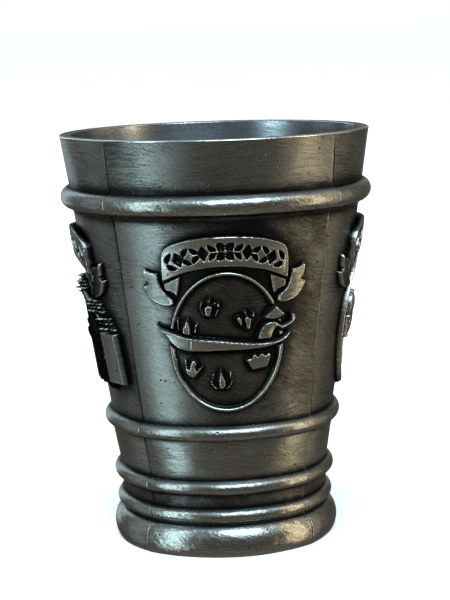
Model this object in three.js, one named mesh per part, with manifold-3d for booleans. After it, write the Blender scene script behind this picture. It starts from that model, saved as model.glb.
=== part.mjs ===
// A souvenir shot glass in antique pewter finish: four cast wall quarters round a seamless drinking cup,
// closed underneath by a base disc. Each quarter carries a raised ribbon banner and a raised badge.
//
// Frame: millimetres, +Z up, the origin at the centre of the standing face. The front badge faces -Y.
import * as THREE from "three";
import { mergeVertices } from "three/addons/utils/BufferGeometryUtils.js";
import Module from "manifold-3d";

const wasm = await Module();
wasm.setup();

// ---------------------------------------------------------------- driving dimensions
const HEIGHT = 60; // standing face to lip
const LIP_RADIUS = 22.6; // outer radius of the cone at the lip
const TAPER = 0.148; // outer radius gained for each mm of height
const CAST_WALL = 0.9; // thickness of the cast quarters
const CUP_SHEET = 0.4; // thickness of the drinking cup's sheet
const FIT = 0.3; // gap between faces that touch on the real object
const AROUND = 48; // facets round the cone
const QUARTER_TURN = Math.PI / 2;

const LIP_THICKNESS = 0.5; // the cup's turned-out lip, which covers the quarters' top edges
const LIP_ROUND = 0.15;
const CUP_FLOOR = 6.0; // height of the inside floor
const CUP_CORNER = 2.5; // radius between the floor and the side
const CUP_CORNER_STEPS = 5;

const DISC_RADIUS = 13.8;
const DISC_LOW = 0.5;
const DISC_HIGH = 2.2;
const DISC_DISH_RADIUS = 11.5; // the shallow dish in the disc's underside
const DISC_DISH_DEPTH = 0.4;

// The foot's bulge is part of an ellipse about (FOOT.r, FOOT.z).
const FOOT = { r: 14.6, z: 1.9, wide: 2.1, high: 2.8 };
const FOOT_TOP_ANGLE = 1.36;
const FOOT_STEPS = 8;

// Half-round hoops cast with the wall, from the foot up: height, tube radius and how far each stands proud.
const HOOPS = [
  { z: 5.85, tube: 1.05, proud: 1.5 },
  { z: 10.05, tube: 1.05, proud: 1.2 },
  { z: 18.25, tube: 1.15, proud: 1.15 },
  { z: 51.0, tube: 1.55, proud: 1.55 },
];
const HOOP_STEPS = 5;

// Heights of the relief above the wall. Outlines below are (along, up): along is measured round the wall on
// an arc RELIEF_ARC proud of it, from the middle of the quarter, and up is the height above the foot.
const RELIEF_ARC = 0.6;
const FIELD = 0.55;
const RIM = 0.95;
const LOW = 0.6;
const MIDDLE = 0.85;
const HIGH = 1.1;
const PROUD = 1.4;
const SKIN_LOW = 15; // the relief lies between these two heights on the wall
const SKIN_HIGH = 50;

const wallRadius = (z) => LIP_RADIUS - TAPER * (HEIGHT - z);

// ---------------------------------------------------------------- colours
const pewter = (color, roughness) =>
  new THREE.MeshStandardMaterial({ color, roughness, metalness: 1 });
const WALL_METAL = pewter(0x6a6863, 0.42);
const RELIEF_METAL = pewter(0x8d8a82, 0.38);
const CUP_METAL = pewter(0x74787c, 0.3);
const DISC_METAL = pewter(0x615f5a, 0.5);

// ---------------------------------------------------------------- solids from three.js geometry and back
function toSolid(geometry) {
  const bare = geometry.index ? geometry.toNonIndexed() : geometry.clone();
  bare.deleteAttribute("normal");
  bare.deleteAttribute("uv");
  const merged = mergeVertices(bare, 1e-4);
  return new wasm.Manifold(
    new wasm.Mesh({
      numProp: 3,
      vertProperties: merged.attributes.position.array,
      triVerts: new Uint32Array(merged.index.array),
    }),
  );
}

function toGeometry(solid) {
  const mesh = solid.getMesh();
  const geometry = new THREE.BufferGeometry();
  geometry.setAttribute("position", new THREE.BufferAttribute(mesh.vertProperties, 3));
  geometry.setIndex(new THREE.BufferAttribute(mesh.triVerts, 1));
  geometry.computeVertexNormals();
  return geometry;
}

const joined = (solids) => solids.reduce((all, one) => all.add(one));

// A closed (radius, height) profile turned round the Z axis.
function turned(profile) {
  const points = profile.map(([r, z]) => new THREE.Vector2(r, z));
  return toSolid(new THREE.LatheGeometry(points, AROUND).rotateX(QUARTER_TURN));
}

// Points on an arc of an ellipse, from one angle to another, both ends included.
function arc(r, z, wide, high, from, to, steps) {
  return Array.from({ length: steps + 1 }, (_, i) => {
    const a = from + ((to - from) * i) / steps;
    return [r + wide * Math.cos(a), z + high * Math.sin(a)];
  });
}

// ---------------------------------------------------------------- the body
const DISC_SEAT_RADIUS = DISC_RADIUS + FIT;
const DISC_SEAT_HEIGHT = DISC_HIGH + FIT;
const WALL_TOP = HEIGHT - LIP_THICKNESS - FIT;

function hoopProfile({ z, tube, proud }) {
  const centre = wallRadius(z) + proud - tube;
  return [
    [wallRadius(z - tube), z - tube],
    ...arc(centre, z, tube, tube, -QUARTER_TURN, QUARTER_TURN, HOOP_STEPS),
    [wallRadius(z + tube), z + tube],
  ];
}

// The four quarters as one ring: foot, hoops and cone outside, a plain cone and the disc's seat inside.
function castRing() {
  const footAngle = -Math.asin(FOOT.z / FOOT.high);
  const profile = [
    [DISC_SEAT_RADIUS, 0],
    ...arc(FOOT.r, FOOT.z, FOOT.wide, FOOT.high, footAngle, FOOT_TOP_ANGLE, FOOT_STEPS),
    ...HOOPS.flatMap(hoopProfile),
    [wallRadius(WALL_TOP), WALL_TOP],
    [wallRadius(WALL_TOP) - CAST_WALL, WALL_TOP],
    [wallRadius(DISC_SEAT_HEIGHT) - CAST_WALL, DISC_SEAT_HEIGHT],
    [DISC_SEAT_RADIUS, DISC_SEAT_HEIGHT],
  ];
  return turned([...profile, profile[0]]);
}

// One quarter, in the middle of which -Y is: the ring inside a wedge whose sides stop half a gap short of
// the seams.
function wallQuarter() {
  const far = 2 * LIP_RADIUS;
  const gap = (FIT / 2) * Math.SQRT2;
  const wedge = new THREE.Shape([
    new THREE.Vector2(0, -gap),
    new THREE.Vector2(far, -gap - far),
    new THREE.Vector2(-far, -gap - far),
  ]);
  const sector = new THREE.ExtrudeGeometry(wedge, { depth: 2 * HEIGHT, bevelEnabled: false });
  return castRing().intersect(toSolid(sector.translate(0, 0, -HEIGHT / 2)));
}

// The seamless drinking cup, with its lip turned out over the quarters.
function innerCup() {
  const outside = (z) => wallRadius(z) - CAST_WALL - FIT;
  const inside = (z) => outside(z) - CUP_SHEET;
  const bottom = CUP_FLOOR - CUP_SHEET;
  const cornerTop = CUP_FLOOR + CUP_CORNER;
  const lipBottom = HEIGHT - LIP_THICKNESS;
  const corner = (radius, sheet) =>
    arc(radius(cornerTop) - CUP_CORNER, cornerTop, CUP_CORNER, CUP_CORNER + sheet, -QUARTER_TURN, 0,
      CUP_CORNER_STEPS);
  return turned([
    [0, bottom],
    ...corner(outside, CUP_SHEET),
    [outside(lipBottom), lipBottom],
    [LIP_RADIUS - LIP_ROUND, lipBottom],
    [LIP_RADIUS, lipBottom + LIP_ROUND],
    [LIP_RADIUS, HEIGHT - LIP_ROUND],
    [LIP_RADIUS - LIP_ROUND, HEIGHT],
    [inside(HEIGHT), HEIGHT],
    ...corner(inside, 0).reverse(),
    [0, CUP_FLOOR],
  ]);
}

function baseDisc() {
  const dish = DISC_LOW + DISC_DISH_DEPTH;
  return turned([
    [0, dish],
    [DISC_DISH_RADIUS - DISC_DISH_DEPTH, dish],
    [DISC_DISH_RADIUS, DISC_LOW],
    [DISC_RADIUS, DISC_LOW],
    [DISC_RADIUS, DISC_HIGH],
    [0, DISC_HIGH],
  ]);
}

// ---------------------------------------------------------------- relief on the wall
// The part of the wall's outer skin that lies under an outline, from the wall's face up to a height above it.
function raised(outline, height) {
  const skin = turned([
    [wallRadius(SKIN_LOW) + FIT, SKIN_LOW],
    [wallRadius(SKIN_LOW) + height, SKIN_LOW],
    [wallRadius(SKIN_HIGH) + height, SKIN_HIGH],
    [wallRadius(SKIN_HIGH) + FIT, SKIN_HIGH],
    [wallRadius(SKIN_LOW) + FIT, SKIN_LOW],
  ]);
  return outwardPrism(outline).intersect(skin);
}

// A prism that runs outward from the axis along -Y, and crosses the wall's skin in an outline.
function outwardPrism(outline) {
  const across = outline.map(([along, up]) => {
    const radius = wallRadius(up) + RELIEF_ARC;
    return new THREE.Vector2(radius * Math.sin(along / radius), up);
  });
  const depth = 2 * LIP_RADIUS;
  const prism = new THREE.ExtrudeGeometry(new THREE.Shape(across), { depth, bevelEnabled: false });
  return toSolid(prism.rotateX(QUARTER_TURN));
}

const mirrored = (outline) => outline.map(([along, up]) => [-along, up]).reverse();
const ellipse = (along, up, wide, high, steps) =>
  arc(along, up, wide, high, 0, 4 * QUARTER_TURN, steps).slice(0, -1);
const box = (left, right, low, high) => [
  [left, low],
  [right, low],
  [right, high],
  [left, high],
];

// A strip of even width along a chain of points.
function strip(chain, width) {
  const sides = chain.map(([along, up], i) => {
    const [a0, u0] = chain[Math.max(i - 1, 0)];
    const [a1, u1] = chain[Math.min(i + 1, chain.length - 1)];
    const scale = width / 2 / Math.hypot(a1 - a0, u1 - u0);
    const across = [(u1 - u0) * scale, (a0 - a1) * scale];
    return [
      [along + across[0], up + across[1]],
      [along - across[0], up - across[1]],
    ];
  });
  return [...sides.map((s) => s[0]), ...sides.map((s) => s[1]).reverse()];
}

// The ribbon: an arched band, a fold under each end and a swallow tail beyond each fold.
const BAND = { half: 9.1, radius: 19.1, crown: 47.1, height: 4.6, corner: 1.6, steps: 12 };

// The part of an upright circle about the middle line that lies within a half width, from right to left.
function archAbout(half, radius, crown, steps) {
  const sweep = Math.asin(half / radius);
  return arc(0, crown - radius, radius, radius, QUARTER_TURN - sweep, QUARTER_TURN + sweep, steps);
}

function bandOutline() {
  const { half, radius, crown, height, corner, steps } = BAND;
  const top = archAbout(half - corner, radius, crown, steps);
  const bottom = archAbout(half, radius, crown - height, steps).reverse();
  const shoulder = top[0][1] - corner;
  const bend = [half - corner / 4, shoulder + (4 / 5) * corner];
  return [[half, shoulder], bend, ...top, [-bend[0], bend[1]], [-half, shoulder], ...bottom];
}

const FOLD = [[9.0, 40.9], [8.7, 39.3], [7.5, 38.9], [7.05, 38.0], [6.5, 39.2], [6.2, 41.3]];
const TAIL = [[7.1, 38.1], [8.6, 37.25], [10.3, 37.5], [11.6, 38.5], [12.2, 40.1], [11.4, 40.2], [11.9, 41.5],
  [11.8, 42.7], [11.1, 42.0], [9.5, 41.9], [8.8, 39.3], [7.4, 38.9]];

function banner() {
  const sides = [FOLD, TAIL].flatMap((outline) => [outline, mirrored(outline)]);
  return joined([raised(bandOutline(), HIGH), ...sides.map((outline) => raised(outline, LOW))]);
}

// The oval field with its raised rim, which three of the badges share.
const OVAL = { up: 31.7, wide: 8.15, high: 10.2, rim: 0.65, steps: 32 };

function ovalFrame() {
  const outline = (inset) => ellipse(0, OVAL.up, OVAL.wide - inset, OVAL.high - inset, OVAL.steps);
  const rim = raised(outline(0), RIM).subtract(outwardPrism(outline(OVAL.rim)));
  return joined([rim, raised(outline(OVAL.rim / 2), FIELD)]);
}

// A water lily seen from the side: five points over a narrow seat.
const LILY = [[-0.8, 0], [0.8, 0], [1.45, 1.3], [0.95, 1.2], [0.7, 2.0], [0.35, 1.7], [0, 2.5], [-0.35, 1.7],
  [-0.7, 2.0], [-0.95, 1.2], [-1.45, 1.3]];
const lily = (along, up, size) => LILY.map(([a, u]) => [along + a * size, up + u * size]);

const HULL = [[-10.3, 33.9], [-8.9, 32.9], [-8, 31.9], [-6.5, 31.3], [-4.5, 31.1], [0, 30.9], [6, 30.7],
  [7.6, 31.1], [9.2, 32.1], [9.3, 32.6], [8, 32.0], [6.5, 31.8], [4, 31.85], [0, 32.25], [-5.2, 32.9],
  [-8.0, 33.5], [-9.5, 34.0], [-10.8, 34.7]];
const HAT = [[4.75, 35.0], [6.5, 34.7], [8.2, 34.8], [6.65, 36.45]];
const ROWER = [[4.1, 31.7], [6.4, 31.7], [6.6, 32.8], [7.4, 33.0], [10.0, 33.7], [10.2, 34.3], [9.8, 35.0],
  [9.5, 34.2], [7.8, 33.6], [6.9, 34.9], [5.6, 34.9], [4.7, 33.6]];
const POND_LILIES = [
  { along: -2.6, up: 35.9, size: 0.95 },
  { along: 2.4, up: 33.8, size: 0.95 },
  { along: -5.9, up: 33.0, size: 0.95 },
  { along: -5.3, up: 27.1, size: 1.0 },
  { along: -1.3, up: 25.4, size: 1.0 },
  { along: 3.9, up: 27.6, size: 1.05 },
];

function sampanBadge() {
  const lilies = POND_LILIES.map(({ along, up, size }) => raised(lily(along, up, size), MIDDLE));
  return joined([ovalFrame(), raised(HULL, PROUD), raised(ROWER, HIGH), raised(HAT, PROUD), ...lilies]);
}

// Silk lanterns hung from the rim. Each is a cord, a round body between two caps, and a tassel.
const LANTERNS = [
  { along: 0, up: 31.6, wide: 2.9, high: 3.0, hung: 41.4, tassel: 24.2 },
  { along: -4.9, up: 34.2, wide: 1.6, high: 1.9, hung: 39.4, tassel: 29.6 },
  { along: 4.9, up: 33.4, wide: 1.7, high: 1.7, hung: 39.4, tassel: 29.0 },
];
const LANTERN_STEPS = 20;
const CORD = 0.4;

function lanternBadge() {
  const parts = LANTERNS.flatMap(({ along, up, wide, high, hung, tassel }) => [
    raised(box(along - CORD / 2, along + CORD / 2, up, hung), MIDDLE),
    raised(box(along - wide / 3, along + wide / 3, up - high - CORD, up + high + CORD), HIGH),
    raised(ellipse(along, up, wide, high, LANTERN_STEPS), PROUD),
    raised(box(along - CORD, along + CORD, tassel, up), MIDDLE),
  ]);
  return joined([ovalFrame(), ...parts]);
}

// One large water lily over two leaves.
const LEAF = [[-6.6, 27.2], [-3.6, 25.6], [-0.4, 26.6], [-1.2, 28.2], [-4.2, 28.6]];
const LARGE_LILY = { up: 27.6, size: 3.4 };

function lilyBadge() {
  const leaves = [LEAF, mirrored(LEAF)].map((outline) => raised(outline, MIDDLE));
  return joined([ovalFrame(), ...leaves, raised(lily(0, LARGE_LILY.up, LARGE_LILY.size), PROUD)]);
}

// A covered footbridge: three stepped roofs over an arched deck on piers, between two abutments.
const BRIDGE_FIELD = [[-10.8, 24.7], [10.8, 24.7], [11.2, 32.4], [7.6, 35.0], [3.8, 37.4], [-3.8, 37.4],
  [-7.6, 35.0], [-11.2, 32.4]];
const MIDDLE_ROOF = [[-4.4, 36.5], [4.4, 36.5], [4.2, 39.1], [2.4, 39.1], [2.2, 38.5], [-2.2, 38.5],
  [-2.4, 39.1], [-4.2, 39.1]];
const SIDE_ROOF = [[3.2, 36.2], [6.6, 34.3], [9.8, 34.3], [8.5, 36.9], [6.6, 36.9], [3.4, 38.1]];
const END_ROOF = [[6.2, 33.8], [9.5, 32.0], [12.0, 32.0], [11.3, 34.4], [9.5, 34.4], [6.6, 35.8]];
const PIERS = { along: [1.2, 3.4, 5.6, 7.2], width: 0.85, low: 24.4, high: 30.0 };
const ABUTMENT = box(8.6, 12.3, 24.6, 32.2);
const ABUTMENT_FOOT = box(7.0, 8.9, 23.5, 24.9);
const DECK = { radius: 14.0, crown: 31.2, half: 8.6, width: 0.75, steps: 12 };

function bridgeBadge() {
  const deck = strip(archAbout(DECK.half, DECK.radius, DECK.crown, DECK.steps), DECK.width);
  const piers = PIERS.along.map((along) =>
    box(along - PIERS.width / 2, along + PIERS.width / 2, PIERS.low, PIERS.high));
  const bothWays = (outlines) => outlines.flatMap((outline) => [outline, mirrored(outline)]);
  return joined([
    raised(BRIDGE_FIELD, FIELD),
    ...bothWays([...piers, ABUTMENT_FOOT]).map((outline) => raised(outline, HIGH)),
    raised(deck, PROUD),
    ...[MIDDLE_ROOF, ...bothWays([SIDE_ROOF, END_ROOF, ABUTMENT])].map((outline) => raised(outline, PROUD)),
  ]);
}

// ---------------------------------------------------------------- the scene
function mesh(name, solid, material) {
  const made = new THREE.Mesh(toGeometry(solid), material);
  made.name = name;
  return made;
}

// Each side of the glass is a group turned about Z, so that its middle faces away from the axis.
const SIDES = [
  { side: "front", turn: 0, badge: sampanBadge },
  { side: "right", turn: 1, badge: lanternBadge },
  { side: "back", turn: 2, badge: lilyBadge },
  { side: "left", turn: 3, badge: bridgeBadge },
];

const glass = new THREE.Group();
glass.add(mesh("inner_cup", innerCup(), CUP_METAL), mesh("base_disc", baseDisc(), DISC_METAL));
const quarter = wallQuarter();
const ribbon = banner();
for (const { side, turn, badge } of SIDES) {
  const group = new THREE.Group();
  group.rotation.z = turn * QUARTER_TURN;
  group.add(
    mesh(`wall_${side}`, quarter, WALL_METAL),
    mesh(`banner_${side}`, ribbon, RELIEF_METAL),
    mesh(`badge_${side}`, badge(), RELIEF_METAL),
  );
  glass.add(group);
}

export default glass;
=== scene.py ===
import math

import bpy
import numpy as np
from mathutils import Matrix, Vector
from mathutils.geometry import tessellate_polygon


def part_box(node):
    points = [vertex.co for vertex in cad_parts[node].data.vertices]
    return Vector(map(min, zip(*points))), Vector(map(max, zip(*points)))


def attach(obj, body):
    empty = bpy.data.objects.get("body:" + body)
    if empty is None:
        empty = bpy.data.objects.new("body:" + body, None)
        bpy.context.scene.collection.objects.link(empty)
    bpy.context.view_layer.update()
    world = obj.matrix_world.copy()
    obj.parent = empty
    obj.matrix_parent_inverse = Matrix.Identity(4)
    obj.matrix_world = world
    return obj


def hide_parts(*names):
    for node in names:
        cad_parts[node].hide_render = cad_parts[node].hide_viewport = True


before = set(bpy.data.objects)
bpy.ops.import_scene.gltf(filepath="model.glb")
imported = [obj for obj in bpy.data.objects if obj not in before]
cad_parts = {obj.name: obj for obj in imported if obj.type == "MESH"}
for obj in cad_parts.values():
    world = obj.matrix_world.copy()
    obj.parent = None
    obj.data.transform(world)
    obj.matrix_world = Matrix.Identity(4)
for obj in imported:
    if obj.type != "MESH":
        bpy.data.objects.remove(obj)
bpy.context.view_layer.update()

# The looks of a souvenir shot glass in antique pewter. Lengths are in millimetres until a mesh is made.
# Each side of the glass is worked in its own flat coordinates: "across" is the arc length round the wall from
# the middle of the side, "up" is the height above the standing face, and "proud" the height above the wall.
MM = 0.001
CUP_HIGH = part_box("inner_cup")[1] / MM
DISC_LOW, DISC_HIGH = (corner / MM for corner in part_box("base_disc"))
HEIGHT = CUP_HIGH.z
LIP_RADIUS = CUP_HIGH.x
TAPER = 0.148
CAST_WALL = 0.9
CUP_SHEET = 0.4
CUP_FLOOR = 6.0
JOINT_GAP = 0.3
WALL_TOP = HEIGHT - JOINT_GAP
# "Across" is measured on a cone this far outside the wall.
RELIEF_ARC = 0.6
SIDES = {"front": 0, "right": 1, "back": 2, "left": 3}
QUARTER = math.pi / 2
# From one side to the next the metal's texture is shifted this far, so that no two sides look the same.
SIDE_SHIFT = 40.0


def wall_radius(up):
    return LIP_RADIUS - TAPER * (HEIGHT - up)


# ---------------------------------------------------------------- camera, lights and floor
CAMERA_PLACE = Vector((-11.8, -245.8, 75.0))
CAMERA_YAW, CAMERA_PITCH, CAMERA_ROLL = (math.radians(a) for a in (2.95, 9.32, -1.76))
CAMERA_LENS = 100.5


def make_camera():
    forward = Vector((
        math.sin(CAMERA_YAW) * math.cos(CAMERA_PITCH),
        math.cos(CAMERA_YAW) * math.cos(CAMERA_PITCH),
        -math.sin(CAMERA_PITCH),
    ))
    level = Vector((math.cos(CAMERA_YAW), -math.sin(CAMERA_YAW), 0))
    upward = level.cross(forward)
    right = math.cos(CAMERA_ROLL) * level + math.sin(CAMERA_ROLL) * upward
    top = math.cos(CAMERA_ROLL) * upward - math.sin(CAMERA_ROLL) * level
    data = bpy.data.cameras.new("camera")
    data.lens = CAMERA_LENS
    data.clip_start = 0.01
    camera = bpy.data.objects.new("camera", data)
    aim = Matrix((right, top, -forward)).transposed().to_4x4()
    camera.matrix_world = Matrix.Translation(CAMERA_PLACE * MM) @ aim
    bpy.context.scene.collection.objects.link(camera)
    bpy.context.scene.camera = camera


# Name, azimuth and elevation in degrees, width and height in metres, brightness and colour. Azimuth 0 is at
# -Y, and +90 at +X.
LIGHTS = (
    ("window_left", -55, 6, (0.24, 1.7), 5.3, (0.6, 0.9, 1.0)),
    ("lamp_right", 71, 8, (0.18, 1.5), 4.5, (1.0, 0.85, 0.56)),
    ("glow_right", 102, 8, (0.4, 1.5), 0.55, (1.0, 0.9, 0.68)),
    ("glow_left", -108, 8, (0.4, 1.5), 0.45, (0.66, 0.88, 1.0)),
    ("ceiling", 16, 44, (0.6, 0.55), 10.2, (0.55, 0.8, 1.0)),
    ("rear_left", -152, 20, (0.35, 1.2), 1.5, (0.7, 0.9, 1.0)),
    ("rear_right", 162, 20, (0.25, 1.2), 0.3, (1.0, 0.9, 0.74)),
)
LIGHT_DISTANCE = 0.9
FLOOR_LIGHT = {"energy": 2.9, "angle": 50, "tilt": (14, -10, 0)}
# What the metal mirrors beyond the lights, as stops from straight below at 0 to overhead at 1.
SURROUNDINGS = (
    (0.0, (0.3, 0.285, 0.245)),
    (0.15, (0.25, 0.235, 0.2)),
    (0.27, (0.16, 0.148, 0.12)),
    (0.5, (0.145, 0.14, 0.125)),
    (0.7, (0.17, 0.185, 0.19)),
    (1.0, (0.5, 0.6, 0.68)),
)
FLOOR_REACH = 30.0
FLOOR_COLOUR = (0.86, 0.86, 0.85, 1)
FLOOR_ROUGHNESS = 0.9


def soft_box(name, azimuth, elevation, size, brightness, colour):
    """A rectangular light that faces the middle of the glass."""
    data = bpy.data.lights.new(name, "AREA")
    data.shape = "RECTANGLE"
    data.size, data.size_y = size
    data.energy = brightness * math.pi * size[0] * size[1]
    data.color = colour
    light = bpy.data.objects.new(name, data)
    light.visible_camera = False
    turn, rise = math.radians(azimuth), math.radians(elevation)
    outward = Vector((math.sin(turn) * math.cos(rise), -math.cos(turn) * math.cos(rise), math.sin(rise)))
    light.location = Vector((0, 0, HEIGHT / 2 * MM)) + outward * LIGHT_DISTANCE
    light.rotation_euler = (-outward).to_track_quat("-Z", "Y").to_euler()
    bpy.context.scene.collection.objects.link(light)


def make_studio():
    for light in LIGHTS:
        soft_box(*light)
    # The floor has a light of its own, which the metal doesn't mirror.
    sun = bpy.data.objects.new("floor_wash", bpy.data.lights.new("floor_wash", "SUN"))
    sun.data.energy = FLOOR_LIGHT["energy"]
    sun.data.angle = math.radians(FLOOR_LIGHT["angle"])
    sun.rotation_euler = [math.radians(tilt) for tilt in FLOOR_LIGHT["tilt"]]
    sun.visible_glossy = False
    bpy.context.scene.collection.objects.link(sun)
    make_world()
    bpy.context.scene.view_settings.view_transform = "Standard"


def make_world():
    """Dim warm surroundings for the metal to mirror, and a white backdrop."""
    world = bpy.data.worlds.new("studio")
    bpy.context.scene.world = world
    world.use_nodes = True
    n = Nodes(world.node_tree)
    direction = n.add("SeparateXYZ", {0: n.add("TexCoord", {})["Generated"]})
    ramp = n.add("ValToRGB", {0: n.math("MULTIPLY_ADD", direction["Z"], 0.5, 0.5)})["Color"]
    stops = ramp.node.color_ramp.elements
    while len(stops) < len(SURROUNDINGS):
        stops.new(0.5)
    for stop, (position, colour) in zip(stops, SURROUNDINGS):
        stop.position = position
        stop.color = (*colour, 1)
    around = world.node_tree.nodes["Background"]
    n.feed(around, {"Color": ramp})
    backdrop = n.add("Background", {"Color": (1, 1, 1, 1)})[0]
    to_camera = n.add("LightPath", {})["Is Camera Ray"]
    choice = n.add("MixShader", {"Fac": to_camera, 1: around.outputs[0], 2: backdrop})[0]
    n.feed(world.node_tree.nodes["World Output"], {"Surface": choice})


def make_floor():
    mesh = bpy.data.meshes.new("floor")
    corners = [(x * FLOOR_REACH, y * FLOOR_REACH, 0) for x, y in ((-1, -1), (1, -1), (1, 1), (-1, 1))]
    mesh.from_pydata(corners, [], [(0, 1, 2, 3)])
    floor = bpy.data.objects.new("floor", mesh)
    bpy.context.scene.collection.objects.link(floor)
    paper = bpy.data.materials.new("pale_paper")
    paper.use_nodes = True
    looks = {"Base Color": FLOOR_COLOUR, "Roughness": FLOOR_ROUGHNESS}
    Nodes(paper.node_tree).feed(paper.node_tree.nodes["Principled BSDF"], looks)
    mesh.materials.append(paper)
    floor.visible_glossy = False


# ---------------------------------------------------------------- materials
# Each pattern's length and width in mm, its turn in degrees, a shift that keeps the patterns apart, and the
# noise's detail and roughness.
PATTERNS = {
    "long": (7.0, 0.3, -2, 0.0, 4.0, 0.62),
    "fine": (2.4, 0.13, 3, 7.0, 2.0, 0.6),
    "slanted": (2.6, 0.14, -20, 13.0, 4.0, 0.68),
    "steep": (1.5, 0.12, -38, 29.0, 2.0, 0.6),
    "patches": (9.0, 9.0, 0, 31.0, 1.0, 0.5),
    "sparkle": (0.34, 0.26, 20, 5.0, 2.0, 0.7),
    "pitted": (2.9, 2.9, 0, 57.0, 0.0, 0.5),
    "blotch": (6.0, 4.8, -20, 3.0, 3.0, 0.55),
    "scratches": (1.7, 0.13, -58, 21.0, 1.0, 0.5),
    "dents": (2.3, 1.2, -22, 43.0, 2.0, 0.55),
}
SWAY_SCALE, SWAY_RISE = 0.07, 4.0
PIT_SCALE = 0.8
BUMP_STRENGTH, BUMP_RISE = 0.7, 0.11
LACQUER_ROUGHNESS = 0.07
ANISOTROPY = 0.3


class Nodes:
    """Short ways to add nodes to a material's tree."""

    def __init__(self, tree):
        self.tree = tree

    def feed(self, node, inputs):
        """Sets a node's inputs, each to a value or to another node's output."""
        for name, given in inputs.items():
            if isinstance(given, bpy.types.NodeSocket):
                self.tree.links.new(given, node.inputs[name])
            else:
                node.inputs[name].default_value = given

    def add(self, kind, inputs, **settings):
        node = self.tree.nodes.new("ShaderNode" + kind)
        for name, value in settings.items():
            setattr(node, name, value)
        self.feed(node, inputs)
        return node.outputs

    def attribute(self, name, output="Fac"):
        return self.add("Attribute", {}, attribute_name=name)[output]

    def math(self, operation, *values):
        return self.add("Math", dict(enumerate(values)), operation=operation)[0]

    def total(self, start, *terms):
        """A starting value plus each value times its weight."""
        for value, weight in terms:
            start = self.math("MULTIPLY_ADD", value, weight, start)
        return start

    def limits(self, value, low, high, to_low=0.0, to_high=1.0):
        ends = {"From Min": low, "From Max": high, "To Min": to_low, "To Max": to_high}
        return self.add("MapRange", {"Value": value, **ends}, interpolation_type="SMOOTHSTEP")[0]

    def noise(self, vector, scale, detail, roughness):
        return self.add("TexNoise", {"Vector": vector, "Scale": scale, "Detail": detail,
                                     "Roughness": roughness})["Fac"]

    def pattern(self, name, vector):
        length, width, turn, shift, detail, roughness = PATTERNS[name]
        place = {"Vector": vector, "Scale": (length, width, 1), "Rotation": (0, 0, math.radians(turn)),
                 "Location": (shift, shift, 0)}
        return self.noise(self.add("Mapping", place, vector_type="TEXTURE")[0], 1.0, detail, roughness)

    def mix(self, factor, first, second):
        return self.add("Mix", {"Factor": factor, "A": first, "B": second}, data_type="RGBA")["Result"]


def scaled(colour, factor):
    return tuple(min(1.0, factor * part) for part in colour[:3]) + (1,)


def brush_lines(n, grain, wear):
    """Brush lines that run round the glass and drift up and down as the hand does, with slanted strokes in
    patches, most of all low on the medallions. The value is 0.5 on average, and varies less on worn metal."""
    sway = n.math("MULTIPLY", n.noise(grain, SWAY_SCALE, 0.0, 0.5), SWAY_RISE)
    bent = n.add("VectorMath", {0: grain, 1: n.add("CombineXYZ", {"Y": sway})[0]}, operation="ADD")[0]
    level = n.total(0.09, (n.pattern("long", bent), 0.4), (n.pattern("fine", bent), 0.42))
    crossed = n.total(0.12, (n.pattern("slanted", grain), 0.52), (n.pattern("steep", grain), 0.24))
    up = n.add("SeparateXYZ", {0: grain})["Y"]
    zones = n.math("ADD", n.limits(up, 18.0, 24.0, 0.0, 0.15), n.limits(up, 32.0, 40.0, 0.0, -0.12))
    favoured = n.limits(n.math("ADD", n.pattern("patches", grain), zones), 0.5, 0.62)
    lines = n.add("Mix", {0: favoured, 2: level, 3: crossed}, data_type="FLOAT")[0]
    strength = n.math("MULTIPLY_ADD", wear, -0.6, 1.0)
    centred = n.math("MULTIPLY", n.math("SUBTRACT", lines, 0.5), strength)
    sparkle = n.math("SUBTRACT", n.pattern("sparkle", grain), 0.5)
    return n.math("MULTIPLY_ADD", sparkle, 0.34, n.math("ADD", centred, 0.5))


def casting_pits(n, grain, amount):
    distance = n.add("TexVoronoi", {"Vector": grain, "Scale": PIT_SCALE}, feature="F1")["Distance"]
    chosen = n.limits(n.pattern("pitted", grain), 0.44, 0.56)
    return n.math("MULTIPLY", n.math("MULTIPLY", n.limits(distance, 0.07, 0.17, 1.0, 0.0), chosen), amount)


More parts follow.
